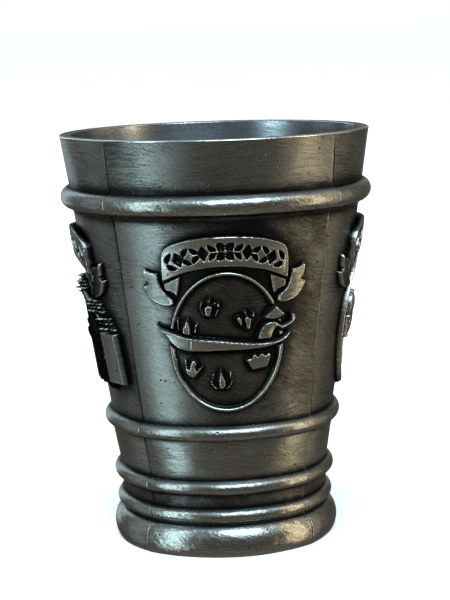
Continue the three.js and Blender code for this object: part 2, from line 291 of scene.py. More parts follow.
def pewter(name, metal, oxide, roughness, brushing=1.0, pitting=1.0, blotches=1.0, oxide_roughness=0.1,
           lacquer=0.06, edge_shine=0.7, polish=1.9):
    """Antique pewter: a dark oxide in the hollows, brushed back to the metal on the faces and rubbed bright
    on the edges. The same dark colour paints shade where the meshes ask for it, and the edge brightening
    paints a highlight on the cup's lip. The meshes carry the grain (across and up, in mm), the oxide in the
    hollows with the painted shade, and the wear on the edges with the painted highlight."""
    material = bpy.data.materials.new(name)
    material.use_nodes = True
    n = Nodes(material.node_tree)
    grain, patina, wear = n.attribute("grain", "Vector"), n.attribute("patina"), n.attribute("wear")
    brushed = brush_lines(n, grain, wear)
    pits = casting_pits(n, grain, pitting)

    # How much oxide and painted shade is left at each point: less where it is worn, or where a scratch cut
    # through it.
    blotch = n.math("SUBTRACT", n.pattern("blotch", grain), 0.5)
    thick = n.math("MULTIPLY_ADD", blotch, 0.9 * blotches, patina)
    ragged = n.math("MULTIPLY_ADD", n.math("SUBTRACT", 0.5, brushed), 1.35 * brushing, thick)
    scratches = n.limits(n.pattern("scratches", grain), 0.72, 0.77)
    rubbed = n.math("ADD", n.math("MULTIPLY", wear, 0.5), n.math("MULTIPLY", scratches, 0.5))
    cover = n.math("MAXIMUM", n.math("SUBTRACT", n.limits(ragged, 0.02, 0.95), rubbed), pits)
    cover.node.use_clamp = True

    bright = n.mix(n.math("MULTIPLY", wear, 0.6), metal, scaled(metal, polish))
    streaked = n.mix(n.limits(brushed, 0.36, 0.64), scaled(metal, 0.5), bright)
    # Fine relief: brush lines, pits, and shallow dents on the worn edges.
    dents = n.math("MULTIPLY", n.pattern("dents", grain), wear)
    relief = n.total(0.0, (brushed, 0.5 * brushing), (pits, -0.5), (dents, 2.2 * brushing))
    bump = {"Strength": BUMP_STRENGTH, "Distance": BUMP_RISE * MM, "Height": relief}
    n.feed(material.node_tree.nodes["Principled BSDF"], {
        "Base Color": n.mix(cover, streaked, oxide),
        "Metallic": 1.0,
        "Roughness": n.total(roughness + 0.2, (brushed, -0.4), (wear, -0.1), (cover, oxide_roughness)),
        "Specular Tint": (edge_shine, edge_shine, edge_shine, 1),
        "Coat Weight": lacquer,
        "Coat Roughness": LACQUER_ROUGHNESS,
        "Anisotropic": ANISOTROPY,
        "Tangent": n.add("Tangent", {}, direction_type="RADIAL", axis="Z")[0],
        "Normal": n.add("Bump", bump)[0],
    })
    return material


# ---------------------------------------------------------------- meshes
def make_piece(name, points, faces, material, slot, node, sharp=None, **attributes):
    """A smooth-shaded piece that stands for one CAD node. Edges of more than "sharp" degrees stay sharp."""
    mesh = bpy.data.meshes.new(name)
    mesh.from_pydata((points * MM).tolist(), [], faces)
    mesh.validate()
    for key, values in attributes.items():
        kind = "FLOAT_VECTOR" if np.ndim(values) == 2 else "FLOAT"
        layer = mesh.attributes.new(key, kind, "POINT")
        field = "vector" if kind == "FLOAT_VECTOR" else "value"
        layer.data.foreach_set(field, np.asarray(values, np.float32).ravel())
    mesh.materials.append(material)
    mesh.shade_smooth()
    if sharp:
        mesh.set_sharp_from_angle(angle=math.radians(sharp))
    piece = bpy.data.objects.new(name, mesh)
    bpy.context.scene.collection.objects.link(piece)
    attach(piece, "root")
    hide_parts(node)


def grid_faces(rows, columns, closed_rows=False, closed_columns=False):
    """Quads over a grid of points that is stored row by row."""
    below = np.arange(rows if closed_rows else rows - 1)
    beside = np.arange(columns if closed_columns else columns - 1)
    row, column = (index.ravel() for index in np.meshgrid(below, beside, indexing="ij"))
    next_row, next_column = (row + 1) % rows, (column + 1) % columns
    corners = [(row, column), (row, next_column), (next_row, next_column), (next_row, column)]
    return np.stack([r * columns + c for r, c in corners], axis=1)


def turned(radius, up, angle):
    """Points of a surface of revolution. Angle 0 is at -Y, and a quarter turn is at +X."""
    return np.stack([radius * np.sin(angle), -radius * np.cos(angle), up], axis=-1)


def smooth_step(value, low, high):
    t = np.clip((value - low) / (high - low), 0, 1)
    return t * t * (3 - 2 * t)


def grain_at(side, across, up):
    """The metal's own coordinates, shifted from side to side so that no two sides have the same texture."""
    return np.stack([across, up, np.full(up.shape, SIDE_SHIFT * SIDES[side])], axis=-1)


def blurred(field, width):
    """The field under a Gaussian of that width, in grid steps, with its edge values carried outward."""
    reach = int(3 * width) + 1
    weights = np.exp(-0.5 * (np.arange(-reach, reach + 1) / width) ** 2)
    weights /= weights.sum()
    for axis in (0, 1):
        pad = [(reach, reach) if a == axis else (0, 0) for a in (0, 1)]
        wide = np.pad(field, pad, mode="edge")
        count = field.shape[axis]
        field = sum(w * wide.take(range(i, i + count), axis=axis) for i, w in enumerate(weights))
    return field


# ---------------------------------------------------------------- outlines
def run(points, steps=6):
    """A smooth open curve through a few points, without its last point."""
    given = np.array(points, float)
    if len(given) == 2:
        return given[:1]
    ends = np.vstack([2 * given[0] - given[1], given, 2 * given[-1] - given[-2]])
    made = []
    for a, b, c, d in zip(ends[:-3], ends[1:-2], ends[2:-1], ends[3:]):
        bend, twist = 2 * a - 5 * b + 4 * c - d, 3 * b - a - 3 * c + d
        for t in np.arange(steps) / steps:
            made.append(0.5 * (2 * b + (c - a) * t + bend * t**2 + twist * t**3))
    return np.array(made)


def outline(*runs):
    """A closed outline of smooth runs that meet at corners. Each run ends where the next one starts."""
    return np.vstack([run(points) for points in runs])


def mirrored(shape):
    return shape[::-1] * (-1, 1)


def ellipse(across, up, wide, high, steps=72):
    angle = np.arange(steps) * 2 * math.pi / steps
    return np.stack([across + wide * np.cos(angle), up + high * np.sin(angle)], axis=1)


def petal(base, tip, width, bow=0.0, blunt=1.0, steps=9):
    """A leaf-shaped outline from base to tip. Bow bends it sideways, and a small blunt fills out its tip."""
    base, tip = np.array(base, float), np.array(tip, float)
    along = tip - base
    side = np.array([along[1], -along[0]]) / np.hypot(*along)
    t = np.linspace(0.04, 1, steps)[:, None]
    middle = base + along * t + side * bow * np.sin(math.pi * t)
    half = side * width / 2 * np.sin(math.pi * t**0.8) ** blunt
    return np.vstack([middle + half, (middle - half)[::-1][1:]])


# ---------------------------------------------------------------- sculpting in flat coordinates
STEP = 0.085
ACROSS = np.arange(-13.0, 13.0 + STEP, STEP)
UP = np.arange(20.8, 48.4, STEP)
GRID_UP, GRID_ACROSS = np.meshgrid(UP, ACROSS, indexing="ij")
SUNK = -0.3
FAR = 9.0


def near_box(points, margin):
    low, high = points.min(axis=0) - margin, points.max(axis=0) + margin
    columns = slice(*np.searchsorted(ACROSS, (low[0], high[0])))
    rows = slice(*np.searchsorted(UP, (low[1], high[1])))
    return rows, columns


def distance_to(shape, margin=1.2):
    """Signed distance from each grid point to a closed outline, negative inside it."""
    result = np.full(GRID_UP.shape, FAR)
    window = near_box(shape, margin)
    x, y = GRID_ACROSS[window], GRID_UP[window]
    nearest = np.full(x.shape, FAR**2)
    inside = np.zeros(x.shape, bool)
    for (ax, ay), (bx, by) in zip(shape, np.roll(shape, -1, axis=0)):
        dx, dy = bx - ax, by - ay
        t = np.clip(((x - ax) * dx + (y - ay) * dy) / (dx * dx + dy * dy + 1e-12), 0, 1)
        nearest = np.minimum(nearest, (x - ax - t * dx) ** 2 + (y - ay - t * dy) ** 2)
        if ay != by:
            inside ^= ((ay > y) != (by > y)) & (x < ax + (y - ay) * dx / dy)
    result[window] = np.sqrt(nearest) * np.where(inside, -1, 1)
    return result


def distance_to_line(points, start_width, end_width=None, margin=1.2):
    """Signed distance to a stroke along a chain of points, whose width changes evenly."""
    chain = np.array(points, float)
    result = np.full(GRID_UP.shape, FAR)
    window = near_box(chain, margin)
    x, y = GRID_ACROSS[window], GRID_UP[window]
    halves = np.linspace(start_width, start_width if end_width is None else end_width, len(chain)) / 2
    nearest = np.full(x.shape, FAR)
    for (ax, ay), (bx, by), half_a, half_b in zip(chain[:-1], chain[1:], halves[:-1], halves[1:]):
        dx, dy = bx - ax, by - ay
        t = np.clip(((x - ax) * dx + (y - ay) * dy) / (dx * dx + dy * dy + 1e-12), 0, 1)
        gap = np.hypot(x - ax - t * dx, y - ay - t * dy) - (half_a + (half_b - half_a) * t)
        nearest = np.minimum(nearest, gap)
    result[window] = nearest
    return result


def raised(shape, proud, edge=0.3, crown=0.0, crown_reach=1.0):
    """A plateau with steep rounded sides under an outline, or under a distance that is already known."""
    distance = distance_to(shape) if shape.ndim == 2 and shape.shape[1] == 2 else shape
    top = proud + crown * (1 - np.exp(np.minimum(distance, 0) / crown_reach))
    return SUNK + (top - SUNK) * smooth_step(-distance, -0.08, edge)


def cut(field, distance, depth, edge=0.15):
    """Engraves the field where the distance is negative."""
    return field - depth * smooth_step(-distance, -edge / 2, edge)


def scored(field, depth, points, *widths):
    """Engraves a stroke."""
    return cut(field, distance_to_line(points, *widths), depth, edge=0.1)


def bar(proud, edge, points, *widths):
    """A raised stroke."""
    return raised(distance_to_line(points, *widths), proud, edge)


def highest(*fields):
    result = fields[0]
    for field in fields[1:]:
        result = np.maximum(result, field)
    return result


# How far each part of the reliefs stands proud of the wall.
BAND_PROUD, FOLD_PROUD, TAIL_PROUD = 1.1, 0.62, 0.78
FIELD_PROUD, RIM_PROUD, LEDGE_PROUD, LILY_PROUD = 0.26, 0.9, 0.62, 1.06
HULL_PROUD, ROWER_PROUD, HAT_PROUD = 1.2, 1.0, 1.25
LANTERN_PROUD, TASSEL_PROUD, CAP_PROUD = 0.7, 0.85, 1.15
LEAF_PROUD, BLOSSOM_PROUD = 0.75, 0.85
POST_PROUD, PIER_PROUD, DECK_PROUD, PARAPET_PROUD = 1.0, 1.05, 1.3, 1.2
BLOCK_PROUD, BLOCK_FOOT_PROUD, ROOF_PROUD = 1.3, 0.8, 1.1


# ---------------------------------------------------------------- banner
# An arched ribbon with rounded shoulders, a fold under each end and a swallow tail beyond each fold.
BAND = outline(
    [(-8.95, 40.2), (-9.1, 43.4), (-8.75, 45.0), (-7.6, 45.9), (-4.2, 46.8), (0, 47.05), (4.2, 46.8),
     (7.6, 45.9), (8.75, 45.0), (9.1, 43.4), (8.95, 40.2)],
    [(8.95, 40.2), (5.0, 41.75), (0, 42.4), (-5.0, 41.75), (-8.95, 40.2)],
)
FOLD = outline(
    [(8.95, 40.9), (8.85, 39.6), (8.6, 39.1)],
    [(8.6, 39.1), (8.1, 38.95), (7.5, 38.8), (7.1, 38.3), (6.95, 37.3)],
    [(6.95, 37.3), (6.75, 38.1), (6.4, 39.4), (6.15, 41.5)],
    [(6.15, 41.5), (8.95, 40.9)],
)
TAIL = outline(
    [(7.15, 37.15), (8.5, 36.9), (10.4, 37.5), (11.5, 38.75), (12.3, 40.05)],
    [(12.3, 40.05), (11.75, 40.0), (11.3, 40.2)],
    [(11.3, 40.2), (11.75, 40.9), (11.95, 41.7), (11.8, 42.75)],
    [(11.8, 42.75), (11.4, 42.2), (10.6, 41.9), (9.5, 41.8)],
    [(9.5, 41.8), (9.3, 40.6), (8.9, 39.5), (8.2, 38.75), (7.35, 38.1), (7.15, 37.15)],
)
BAND_MIDDLE_RADIUS = 19.0
BAND_MIDDLE_TOP = 44.75
# Where along the band the lozenges and the leaf pairs are cut, and how far each leaf leans.
LOZENGES = (3.0, 6.4)
LOZENGE_HIGH, LOZENGE_WIDE = 1.1, 0.7
LEAVES = {1.75: 0.55, 4.1: 0.55, 5.3: -0.55, 7.5: -0.55}
ORNAMENT_DEPTH = 0.85


def band_point(across, rise=0.0):
    """A point on the band's middle line, which is an arc, or that far above it."""
    tilt = math.asin(across / BAND_MIDDLE_RADIUS)
    radius = BAND_MIDDLE_RADIUS + rise
    return np.array([radius * math.sin(tilt), BAND_MIDDLE_TOP - BAND_MIDDLE_RADIUS + radius * math.cos(tilt)])


def ornament():
    """The cut pattern along the band: a four-petalled rosette in the middle, and leaf pairs and lozenges."""
    cuts = []
    centre = band_point(0)
    for turn in range(4):
        angle = turn * QUARTER + QUARTER / 2
        reach = np.array([math.cos(angle), math.sin(angle)])
        cuts.append(petal(centre + 0.22 * reach, centre + 1.6 * reach, 1.1, blunt=0.7))
    for side in (-1, 1):
        for across in LOZENGES:
            low, high = (band_point(side * across, rise) for rise in (-LOZENGE_HIGH, LOZENGE_HIGH))
            left, right = (band_point(side * across + shift) for shift in (-LOZENGE_WIDE, LOZENGE_WIDE))
            cuts.append(np.array([low, right, high, left]))
        for across, lean in LEAVES.items():
            for up in (-1, 1):
                base = band_point(side * (across - lean), 0.12 * up)
                tip = band_point(side * (across + lean), 1.15 * up)
                cuts.append(petal(base, tip, 0.68, 0.12 * up * side))
    return cuts


def banner_field():
    band = distance_to(BAND)
    field = raised(band, BAND_PROUD, edge=0.32, crown=0.16, crown_reach=1.6)
    for shape in ornament():
        field = cut(field, distance_to(shape), ORNAMENT_DEPTH)
    for shape in (FOLD, mirrored(FOLD)):
        fold = raised(shape, FOLD_PROUD, edge=0.28)
        field = np.where(band < 0.05, field, highest(field, fold))
    for shape in (TAIL, mirrored(TAIL)):
        field = highest(field, raised(shape, TAIL_PROUD, edge=0.22, crown=0.1, crown_reach=0.5))
    return field


# ---------------------------------------------------------------- badges
OVAL_UP, OVAL_WIDE, OVAL_HIGH, OVAL_RIM = 31.75, 8.2, 10.2, 0.72


def oval():
    """A sunk oval field inside a round-topped rim."""
    distance = distance_to(ellipse(0, OVAL_UP, OVAL_WIDE, OVAL_HIGH))
    half = OVAL_RIM / 2 + 0.04
    from_crest = np.abs(distance + OVAL_RIM / 2)
    rim = RIM_PROUD * np.sqrt(np.clip(1 - (from_crest / half) ** 2, 0, 1))
    return highest(np.where(distance < -0.2, FIELD_PROUD, SUNK), np.where(from_crest < half, rim, SUNK))


def blossom(across, up, petals, proud):
    """A flower made of petals, later ones lying on the earlier ones."""
    field = np.full(GRID_UP.shape, SUNK)
    for number, (base, tip, width, bow, blunt) in enumerate(petals):
        base, tip = ((across + x, up + y) for x, y in (base, tip))
        distance = distance_to(petal(base, tip, width, bow, blunt), 0.6)
        height = proud + 0.05 * number
        one = raised(distance, height, edge=0.2, crown=0.12, crown_reach=0.3)
        groove = (distance > -0.02) & (distance < 0.12)
        field = np.where(groove, np.minimum(field, height - 0.45), highest(field, one))
    return field


# Six small water lilies, each with its back and side petals first and its front petal last.
POND = [
    [[(-2.9, 37.0), (-2.75, 37.75), (-2.3, 38.3), (-2.05, 37.9), (-2.2, 37.3)],
     [(-1.75, 37.0), (-1.65, 37.6), (-1.4, 37.3)],
     [(-3.28, 35.6), (-3.75, 36.95), (-3.45, 37.75), (-3.18, 37.5), (-3.42, 36.9), (-3.06, 35.6)],
     [(-1.75, 35.55), (-1.25, 36.7), (-1.42, 37.45), (-1.08, 37.7), (-0.78, 37.1), (-1.42, 35.5)],
     [(-2.43, 37.42), (-3.14, 36.98), (-2.98, 35.6), (-2.06, 35.6), (-1.74, 37.08)]],
    [[(2.3, 35.3), (2.35, 36.1), (2.6, 36.45), (2.8, 36.0), (2.75, 35.5)],
     [(3.3, 35.1), (3.6, 36.05), (3.85, 36.15), (3.9, 35.5), (3.5, 34.0)],
     [(2.14, 33.45), (1.1, 35.1), (1.35, 35.5), (1.75, 35.6), (2.1, 35.2), (2.22, 34.5)],
     [(2.75, 35.8), (2.22, 35.2), (2.6, 33.45), (3.22, 33.42), (3.5, 35.15), (3.1, 35.38)]],
    [[(-6.98, 35.05), (-6.88, 35.38), (-6.66, 35.34), (-6.55, 34.8), (-6.6, 33.4), (-6.88, 33.5)],
     [(-4.62, 33.1), (-4.46, 34.2), (-4.1, 34.8), (-3.92, 34.5), (-4.2, 33.9), (-4.28, 33.1)],
     [(-5.42, 35.45), (-5.75, 34.8), (-6.25, 33.7), (-6.2, 32.8), (-4.9, 32.8), (-4.88, 33.8),
      (-5.12, 34.8)]],
    [[(-6.1, 29.8), (-5.78, 29.1), (-5.66, 28.35), (-5.34, 28.15), (-5.2, 28.8), (-4.95, 29.38),
      (-4.6, 29.48), (-4.22, 29.15), (-4.14, 28.7), (-4.34, 28.15), (-4.18, 27.95), (-3.78, 28.4),
      (-3.42, 28.46), (-3.42, 28.15), (-3.95, 27.4), (-4.35, 26.8), (-4.75, 26.62), (-5.3, 26.82),
      (-5.8, 27.4), (-5.98, 28.4)]],
    [[(-2.18, 27.85), (-2.12, 26.4), (-1.88, 26.4), (-1.96, 27.1)],
     [(0.48, 27.85), (0.22, 27.1), (0.24, 26.4), (0.5, 26.5)],
     [(-2.42, 26.45), (-2.34, 25.7), (-1.9, 25.1), (-1.2, 24.85), (-1.2, 25.15), (-1.8, 25.45),
      (-2.12, 25.95)],
     [(0.76, 26.55), (0.6, 25.7), (0.1, 25.1), (-0.5, 24.9), (-0.4, 25.2), (0.1, 25.5), (0.42, 25.95)],
     [(-1.0, 28.05), (-1.32, 27.1), (-1.4, 26.0), (-1.22, 25.1), (-0.65, 24.95), (-0.18, 25.6), (-0.24, 26.3),
      (-0.62, 27.3)]],
    [[(3.3, 27.5), (2.85, 28.4), (2.4, 29.15), (2.6, 29.4), (3.2, 29.5), (3.42, 29.95), (3.75, 30.1),
      (4.05, 29.95), (4.18, 29.7), (4.45, 30.05), (4.85, 30.14), (5.15, 29.95), (5.26, 29.75), (5.55, 30.05),
      (5.9, 30.08), (6.15, 29.7), (5.95, 28.9), (5.6, 27.86), (4.4, 27.72)]],
]
LEDGE = [(-7.25, 29.3), (-7.05, 28.2), (-6.55, 26.9)]


def small_lily(petals):
    field = np.full(GRID_UP.shape, SUNK)
    for number, shape in enumerate(petals):
        distance = distance_to(np.array(shape), 0.6)
        groove = (distance > 0) & (distance < 0.16)
        one = raised(distance, LILY_PROUD + 0.05 * number, edge=0.2, crown=0.16, crown_reach=0.22)
        field = np.where(groove, np.minimum(field, 0.4), highest(field, one))
    return field


HULL = outline(
    [(-10.0, 34.8), (-9.75, 34.3), (-9.3, 34.05), (-8.3, 33.8), (-6.65, 33.25), (-4.9, 32.8), (-1.2, 32.44),
     (1.9, 32.04), (4.25, 31.8), (6.3, 31.83), (7.45, 32.05), (8.3, 32.5), (9.0, 32.95), (9.3, 32.95)],
    [(9.3, 32.95), (9.4, 32.6), (8.75, 31.9), (7.75, 31.2), (6.6, 30.8), (5.0, 30.55), (3.45, 30.45),
     (0.4, 30.38), (-2.7, 30.38), (-5.05, 30.4), (-6.3, 30.62), (-7.2, 31.05), (-8.0, 31.75), (-8.35, 32.35),
     (-9.1, 33.05), (-10.05, 33.75), (-10.42, 34.3), (-10.0, 34.8)],
)
PROW = (-9.9, 34.3)
PLANK = [(-5.0, 30.82), (-2.7, 30.82), (0.4, 30.68), (3.3, 30.56)]
PLANK_END = [(-5.08, 30.82), (-5.0, 31.8), (-4.86, 32.6)]
GUNWALE = [(-9.3, 33.75), (-6.65, 32.98), (-4.9, 32.5), (-1.2, 32.14), (1.9, 31.74), (4.25, 31.5),
           (6.3, 31.53), (7.45, 31.75), (8.5, 32.3), (9.2, 32.8)]
ROWER_BODY = outline(
    [(4.05, 31.9), (4.2, 32.7), (4.47, 33.4), (5.18, 34.28), (5.98, 34.6), (6.94, 34.55)],
    [(6.94, 34.55), (7.27, 34.28), (7.92, 33.9)],
    [(7.92, 33.9), (9.1, 34.25), (9.3, 34.6), (9.3, 35.0), (9.35, 35.4), (9.6, 35.45)],
    [(9.6, 35.45), (9.98, 35.2), (10.08, 34.5), (9.77, 34.0), (8.3, 33.25), (7.75, 33.05)],
    [(7.75, 33.05), (7.1, 33.45), (6.65, 33.05), (6.4, 32.4), (6.2, 31.9)],
    [(6.2, 31.9), (4.05, 31.9)],
)
ROWER_ELBOW = [(7.15, 34.35), (7.45, 33.8), (7.3, 33.4)]
HAT = outline(
    [(4.9, 35.0), (5.8, 35.85), (6.84, 36.85)],
    [(6.84, 36.85), (7.6, 36.1), (8.45, 35.35)],
    [(8.45, 35.35), (7.4, 34.85), (6.3, 34.68), (4.9, 35.0)],
)
HAT_TIP = (6.84, 36.75)


def sampan():
    """A flat boat with a knob on its prow, a rail along its top edge and a plank line."""
    hull = distance_to(HULL)
    field = raised(hull, HULL_PROUD, edge=0.4, crown=0.2, crown_reach=0.6)
    from_prow = (GRID_ACROSS - PROW[0]) ** 2 + (GRID_UP - PROW[1]) ** 2
    field += 0.25 * np.exp(-from_prow / 0.25) * (hull < 0)
    field = scored(field, 0.24, PLANK, 0.1, 0.04)
    field = scored(field, 0.26, PLANK_END, 0.09)
    return field + 0.13 * np.exp(-(distance_to_line(GUNWALE, 0) / 0.2) ** 2) * (hull < 0), hull


def rower():
    """A hunched back under a cone hat, with an arm to the oar."""
    body = distance_to(ROWER_BODY)
    field = raised(body, ROWER_PROUD, edge=0.24, crown=0.4, crown_reach=0.5)
    field = scored(field, 0.2, ROWER_ELBOW, 0.08, 0.05)
    hat = distance_to(HAT)
    slope = np.hypot(GRID_ACROSS - HAT_TIP[0], 1.2 * (GRID_UP - HAT_TIP[1]))
    cone = raised(hat, HAT_PROUD, edge=0.18) + (0.3 - 0.12 * slope) * (hat < -0.05)
    for foot in (5.7, 6.7, 7.7):
        cone = scored(cone, 0.05, [(HAT_TIP[0], 36.6), (foot, 34.95)], 0.03, 0.06)
    brim = (hat > -0.04) & (hat < 0.14)
    field = np.where(brim, np.minimum(field, 0.5), highest(field, cone))
    return field, np.minimum(body, hat)


def laid_over(under, over, distance, moat=0.16, floor=0.28):
    """One relief on another, with a dark line round it where the lower one is cut back."""
    ring = np.where(distance < moat, np.minimum(under, floor), under)
    return np.where(distance < 0, over, highest(ring, over))


def front_badge():
    pond = highest(oval(), bar(LEDGE_PROUD, 0.15, LEDGE, 0.5, 0.3), *(small_lily(petals) for petals in POND))
    return laid_over(laid_over(pond, *rower()), *sampan())


# Each lantern's middle, its half width and height, and the ends of its cord and its tassel.
LANTERNS = (
    (0, 31.6, 2.9, 3.0, 41.3, 24.2),
    (-4.9, 34.2, 1.6, 1.9, 39.3, 29.6),
    (4.9, 33.4, 1.7, 1.7, 39.3, 29.0),
)


def lantern(across, up, wide, high, hung, tassel):
    """A ribbed silk lantern on its cord, between two caps, with a tassel under it."""
    body = distance_to(ellipse(across, up, wide, high))
    bulge = np.sqrt(np.clip(1 - ((GRID_ACROSS - across) / wide) ** 2 - ((GRID_UP - up) / high) ** 2, 0, 1))
    field = raised(body, LANTERN_PROUD, edge=0.2) + 0.75 * bulge * (body < 0)
    ribs = 3 if wide > 2 else 2
    angle = np.linspace(-0.45, 0.45, 9) * math.pi
    for rib in range(-ribs, ribs + 1):
        reach = wide * 0.97 * math.sin(rib / (ribs + 0.6) * QUARTER)
        line = np.stack([across + reach * np.cos(angle), up + high * np.sin(angle)], axis=1)
        field = scored(field, 0.14, line, 0.07)
    cord = bar(LANTERN_PROUD, 0.16, [(across, up + high), (across, hung)], 0.4)
    knot = (across, (up - high + tassel) / 2)
    tie = bar(LANTERN_PROUD, 0.16, [(across, up - high), knot], 0.4)
    fringe = distance_to_line([knot, (across, tassel)], 0.45, 0.95)
    strands = raised(fringe, TASSEL_PROUD, edge=0.18)
    strands = strands - 0.1 * (np.sin((GRID_ACROSS - across) * 24) > 0) * (fringe < -0.05)
    left, right = across - wide * 0.36, across + wide * 0.36
    caps = (bar(CAP_PROUD, 0.2, [(left, level), (right, level)], 0.62)
            for level in (up + high - 0.05, up - high + 0.05))
    return highest(cord, tie, strands, field, *caps)


def right_badge():
    return highest(oval(), *(lantern(*one) for one in LANTERNS))


# Each petal's lean in radians, length and width, from the outermost pair to the one in the middle.
BLOSSOM_PETALS = ((-1.25, 5.6, 1.7), (1.25, 5.6, 1.7), (-0.85, 6.8, 2.1), (0.85, 6.8, 2.1), (-0.42, 7.4, 2.3),
                  (0.42, 7.4, 2.3), (0.0, 8.0, 2.7))
BLOSSOM_FOOT = 27.6


def back_badge():
    """One open water lily over two veined leaves."""
    field = oval()
    for side in (-1, 1):
        leaf = petal((side * 0.3, 26.6), (side * 6.7, 27.6), 2.7, -0.3 * side, 0.7, 14)
        pad = raised(leaf, LEAF_PROUD, edge=0.25, crown=0.1)
        midrib = distance_to_line([(side * 0.4, 26.6), (side * 6.2, 27.5)], 0.12, 0.05)
        pad = cut(pad, midrib, 0.12, edge=0.12)
        for vein in (1.6, 2.8, 4.0):
            start = (side * vein, 26.7 + 0.15 * vein)
            for rise in (-0.9, 1.0):
                end = (side * (vein + 0.9), start[1] + rise)
                pad = scored(pad, 0.08, [start, end], 0.08, 0.04)
        field = highest(field, pad)
    petals = [
        ((0.25 * math.sin(lean), 0.0), (length * math.sin(lean), length * math.cos(lean)), 1.15 * width,
         0.25 * math.copysign(1, lean) if lean else 0.0, 0.75)
        for lean, length, width in BLOSSOM_PETALS
    ]
    return highest(field, blossom(0, BLOSSOM_FOOT, petals, BLOSSOM_PROUD))


# A covered footbridge: three roofs that step down each way over an arched deck, with a stone block at each
# end. Each roof is a smooth slope with knobbed tiles stacked at its outer end. Given here are the slope's
# corners, and the stack's left, right and top, its number of rows, their pitch and how far each spreads.
ROOFS = (
    ([(-3.6, 38.9), (-3.2, 37.4), (3.2, 37.4), (3.6, 38.9), (2.6, 38.5), (-2.6, 38.5)],
     (2.4, 4.2, 38.9, 4, 0.6, 0.05)),
    ([(3.4, 38.1), (3.2, 36.2), (6.9, 34.4), (8.0, 36.0), (6.6, 36.5)], (6.6, 8.5, 36.7, 4, 0.6, 0.42)),
    ([(6.6, 35.8), (6.2, 33.8), (9.6, 32.0), (11.2, 33.6), (9.6, 34.2)], (9.5, 11.2, 34.2, 3, 0.8, 0.35)),
)
TILE_PITCH = 0.62
STACK_PROUD, STACK_FALL = 1.3, 0.75
DECK_RADIUS = 14.0
DECK_UP = 17.2
PARAPET_UP = 18.6
DECK_SWEEP = 0.66
POST_HIGH, POST_WIDE = 5.0, 0.34
PIERS = (-7.2, -5.6, -3.4, -1.2, 1.2, 3.4, 5.6, 7.2)
PIER_FOOT, PIER_WIDE = 24.4, (0.9, 0.76)
# The shaded space under the roofs ends this far above the deck's arc.
EAVES = 4.4
PLATE = np.array([(-10.8, 24.7), (10.8, 24.7), (11.2, 32.4), (7.6, 35.0), (3.8, 37.4), (-3.8, 37.4),
                  (-7.6, 35.0), (-11.2, 32.4)])
BLOCK = np.array([(8.6, 24.6), (12.3, 24.6), (12.3, 32.2), (8.6, 32.2)])
BLOCK_FOOT = np.array([(7.0, 23.5), (8.9, 23.5), (8.9, 24.9), (7.0, 24.9)])


def deck_top(across):
    return DECK_UP + np.sqrt(DECK_RADIUS**2 - across**2)


def tile_stack(side, left, right, top, rows, pitch, spread):
    """Rows of knobbed tiles down a slope that falls away outward, each knob a little out of line."""
    low = top - rows * pitch
    corners = np.array([(left, top + 0.2), (right, top + 0.2), (right + spread * rows, low), (left, low)])
    body = distance_to(corners * (side, 1))
    slope = STACK_PROUD - STACK_FALL * np.clip((GRID_ACROSS * side - left) / (right - left), 0, 1.2)
    field = raised(body, 0, edge=0.2) + slope * (body < 0)
    for row in range(rows):
        for number, place in enumerate(np.arange(left, right + spread * row + 0.3, TILE_PITCH)):
            wobble = 7.3 * number + 3.1 * row + left
            x = side * (place + 0.12 * math.sin(wobble))
            y = top - row * pitch + 0.14 * math.sin(1.7 * wobble)
            distance = np.hypot(GRID_ACROSS - x, GRID_UP - y) - 0.23 - 0.05 * math.sin(2.3 * wobble)
            proud = slope[0, np.searchsorted(ACROSS, x)] + 0.4 + 0.22 * math.sin(0.9 * wobble)
            field = highest(field, raised(distance, proud, edge=0.15, crown=0.15, crown_reach=0.12))
    return field


def left_badge():
    field = raised(PLATE, FIELD_PROUD, edge=0.2)
    for post in range(-8, 9):
        foot = deck_top(post)
        field = highest(field, bar(POST_PROUD, 0.14, [(post, foot), (post, foot + POST_HIGH)], POST_WIDE))
    for pier in PIERS:
        field = highest(field, bar(PIER_PROUD, 0.18, [(pier, PIER_FOOT), (pier, deck_top(pier))], *PIER_WIDE))
    sweep = np.linspace(-DECK_SWEEP, DECK_SWEEP, 25)
    for centre, wide, proud in ((DECK_UP, 0.75, DECK_PROUD), (PARAPET_UP, 0.4, PARAPET_PROUD)):
        arch = np.stack([DECK_RADIUS * np.sin(sweep), centre + DECK_RADIUS * np.cos(sweep)], axis=1)
        field = highest(field, bar(proud, 0.16, arch, wide))
    for side in (-1, 1):
        block = raised(BLOCK * (side, 1), BLOCK_PROUD, edge=0.16)
        field = highest(field, block, raised(BLOCK_FOOT * (side, 1), BLOCK_FOOT_PROUD, edge=0.16))
        for corners, stack in ROOFS:
            slope = distance_to(np.array(corners) * (side, 1))
            slope = raised(slope, ROOF_PROUD, edge=0.2, crown=0.1, crown_reach=0.5)
            field = highest(field, slope, tile_stack(side, *stack))
    return field


# ---------------------------------------------------------------- relief pieces
BADGES = {"front": front_badge, "right": right_badge, "back": back_badge, "left": left_badge}
# Painted shade added to a side's relief, or painted light where it is negative, and painted shade added to
# the banners' tails.
SIDE_SHADE_AND_LIGHT = {"front": 0.0, "right": -0.12, "back": 0.0, "left": 0.15}
TAIL_SHADE = 0.4
# How wide the surroundings are that a point's height is compared with, in mm.
NEARBY, AROUND = 0.28, 0.62
# The heights are smoothed this far, in grid steps.
SMOOTHING = 0.65
# How far the relief's back lies under its lowest edge.
BACK_DEPTH = 0.02


